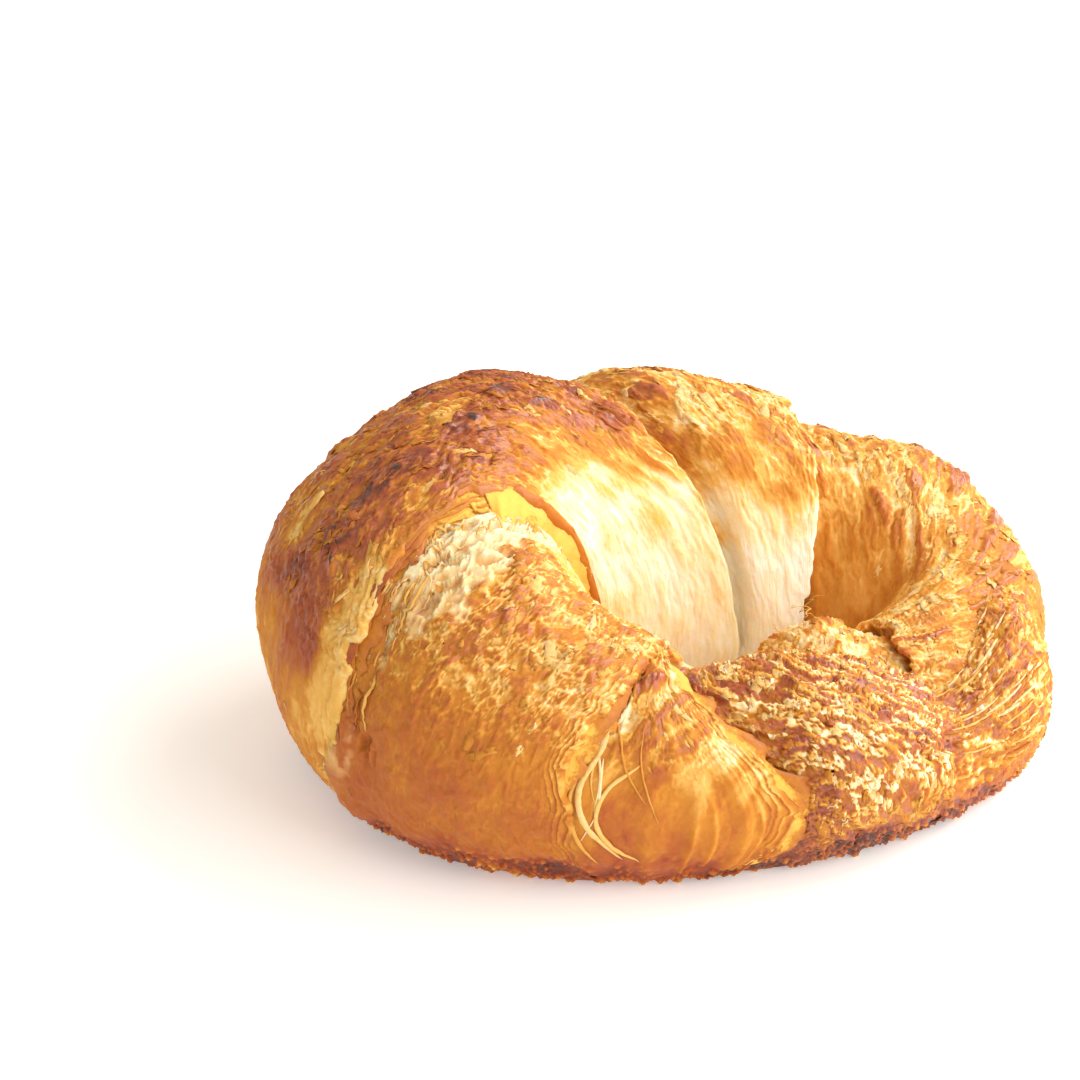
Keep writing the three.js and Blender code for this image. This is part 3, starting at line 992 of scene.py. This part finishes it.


# %% [markdown]
# ## The crust
# Baked crust is a thin, slightly glossy skin of egg wash over dough that light sinks into. The
# colour runs from cream through straw and orange to deep brown with the bake number, the gloss
# comes with the browning, and subsurface scattering gives the warm glow of soft dough. Loose flakes
# and torn layers get almost none of it, because in so thin a mesh it turns grey. Where a torn layer
# is pale, its colour is pushed towards yellow: a painted glow that stands in for light shining
# through the thin sheet.

# %% Crust material
CRUST_COLOURS = [
    (0.0, (0.97, 0.91, 0.79, 1)),
    (0.13, (0.96, 0.79, 0.50, 1)),
    (0.28, (0.86, 0.50, 0.13, 1)),
    (0.45, (0.63, 0.252, 0.032, 1)),
    (0.60, (0.51, 0.162, 0.021, 1)),
    (0.75, (0.41, 0.085, 0.018, 1)),
    (0.88, (0.22, 0.04, 0.012, 1)),
    (1.0, (0.05, 0.015, 0.008, 1)),
]
CRUMB_COLOURS = (0.93, 0.70, 0.37, 1), (0.97, 0.86, 0.64, 1)
# painted glow: the yellow of light shining through a thin, pale sheet
PAINTED_GLOW_YELLOW = (1.0, 0.58, 0.1, 1)


def new_material(name):
    material = bpy.data.materials.new(name)
    material.use_nodes = True
    material.node_tree.nodes.clear()
    return material, Socket(material.node_tree)


def finish_material(material, shader):
    output = material.node_tree.nodes.new("ShaderNodeOutputMaterial")
    material.node_tree.links.new(shader.socket, output.inputs["Surface"])
    return material


def crust_material(name, glow, thin=0.0):
    """Baked dough. glow is how much light sinks in and spreads, thin how strongly its pale parts take a
    painted yellow glow of light shining through.
    """
    material, start = new_material(name)
    flow = start.node("UVMap", {"uv_map": "flow"})
    place = start.node("TexCoord", out=3)
    bake, crumb, crisp = (
        start.node("Attribute", {"attribute_name": name}, out=2) for name in ("bake", "crumb", "crisp"))
    stretched = start.node("Mapping", i0=flow, Scale=(800, 380, 1))
    streak = start.node("TexNoise", i0=stretched, Scale=1.0, Detail=4.0, Roughness=0.6)
    speck = start.node("TexNoise", i0=place, Scale=1500.0, Detail=3.0, Roughness=0.6)
    pores = start.node("TexVoronoi", i0=place, Scale=1100.0)
    patch = start.node("TexNoise", i0=place, Scale=160.0, Detail=3.0)
    brown = bake + (streak - 0.5) * crisp * 0.2 + (speck - 0.5) * (crisp * 0.3 + 0.05)
    brown = (brown + (patch - 0.5) * 0.1).clamped()
    colour = start.node("ValToRGB", {"stops": CRUST_COLOURS}, i0=brown)
    colour = (crumb * 0.7).mixed(colour, speck.between(0.35, 0.7).mixed(*CRUMB_COLOURS))
    if thin:
        # painted glow: pale parts of thin layers are tinted yellow, standing in for light shining through
        # them
        painted_glow = thin * (1 - brown.between(0.4, 0.5))
        colour = painted_glow.mixed(colour, PAINTED_GLOW_YELLOW)
    rough = 0.76 - brown.between(0.35, 0.8) * (crisp * 0.32 + 0.06)
    rough = rough + crumb * 0.1 + (streak - 0.5) * 0.16
    gloss = brown.between(0.42, 0.75) * crisp * 0.9
    height = streak * 0.55 + speck * 0.3 + pores * 0.15
    bump = start.node("Bump", i0=0.48, i1=0.0006, Height=height)
    shader = start.node(
        "BsdfPrincipled", Base_Color=colour, Roughness=rough.clamped(), Normal=bump, Coat_Weight=gloss,
        Coat_Roughness=0.25, IOR=1.4, Specular_IOR_Level=0.32, Subsurface_Weight=glow,
        Subsurface_Radius=(1.0, 0.45, 0.16), Subsurface_Scale=0.0035,
    )
    return finish_material(material, shader)


crust = crust_material("baked_crust", 0.45)
dry_flake = crust_material("dry_flake", 0.05)
thin_layer = crust_material("thin_layer", 0.05, thin=0.75)
FINISHES = {"turn": crust, "torn": thin_layer}  # by the first word of a piece's name
for piece in pieces:
    piece.data.materials.clear()
    piece.data.materials.append(FINISHES.get(piece.name.split("_")[0], dry_flake))
print("crust nodes:", len(crust.node_tree.nodes))

# %% [markdown]
# ## Light, floor and surroundings
# Two big soft windows on the right, one further back than the other, a pale table, and a bright
# room. The left side is lit only by what the room and the table throw back, which keeps it warm.

# %% Stage
bpy.ops.mesh.primitive_plane_add(size=6, location=(0, 0, -0.0002))
floor = bpy.context.object
floor.name = "floor"
floor_material, start = new_material("pale_table")
floor.data.materials.append(finish_material(floor_material, start.node(
    "BsdfPrincipled", Base_Color=(0.9, 0.9, 0.9, 1), Roughness=0.9,
    Emission_Color=(1, 1, 1, 1), Emission_Strength=0.3)))

world = bpy.data.worlds.new("bright_room")
bpy.context.scene.world = world
world.use_nodes = True
world.node_tree.nodes["Background"].inputs["Color"].default_value = (1.0, 0.91, 0.77, 1)
world.node_tree.nodes["Background"].inputs["Strength"].default_value = 0.7

LIGHTS_AIM = Vector((0, 0, 0.03))
LIGHTS = [
    ("window", (0.45, 0.25, 0.45), 0.5, 3.8, (1.0, 0.97, 0.93)),
    ("second_window", (0.5, -0.32, 0.42), 0.6, 3.6, (1.0, 0.98, 0.95)),
]
for name, place, size, watts, colour in LIGHTS:
    bpy.ops.object.light_add(type="AREA", location=place)
    light = bpy.context.object
    light.name = name
    light.data.size, light.data.energy, light.data.color = size, watts, colour
    light.rotation_euler = (Vector(place) - LIGHTS_AIM).to_track_quat("Z", "Y").to_euler()
bpy.context.scene.view_settings.view_transform = "Standard"
print("lights:", [name for name, *_ in LIGHTS])

# %% [markdown]
# ## Ride on the body
# Every piece rides on the one body, and the imported solid is hidden, so that together the pieces
# stand for it.

# %% Ride on the body and hide the solid
for piece in pieces:
    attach(piece, "root")
    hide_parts("croissant")
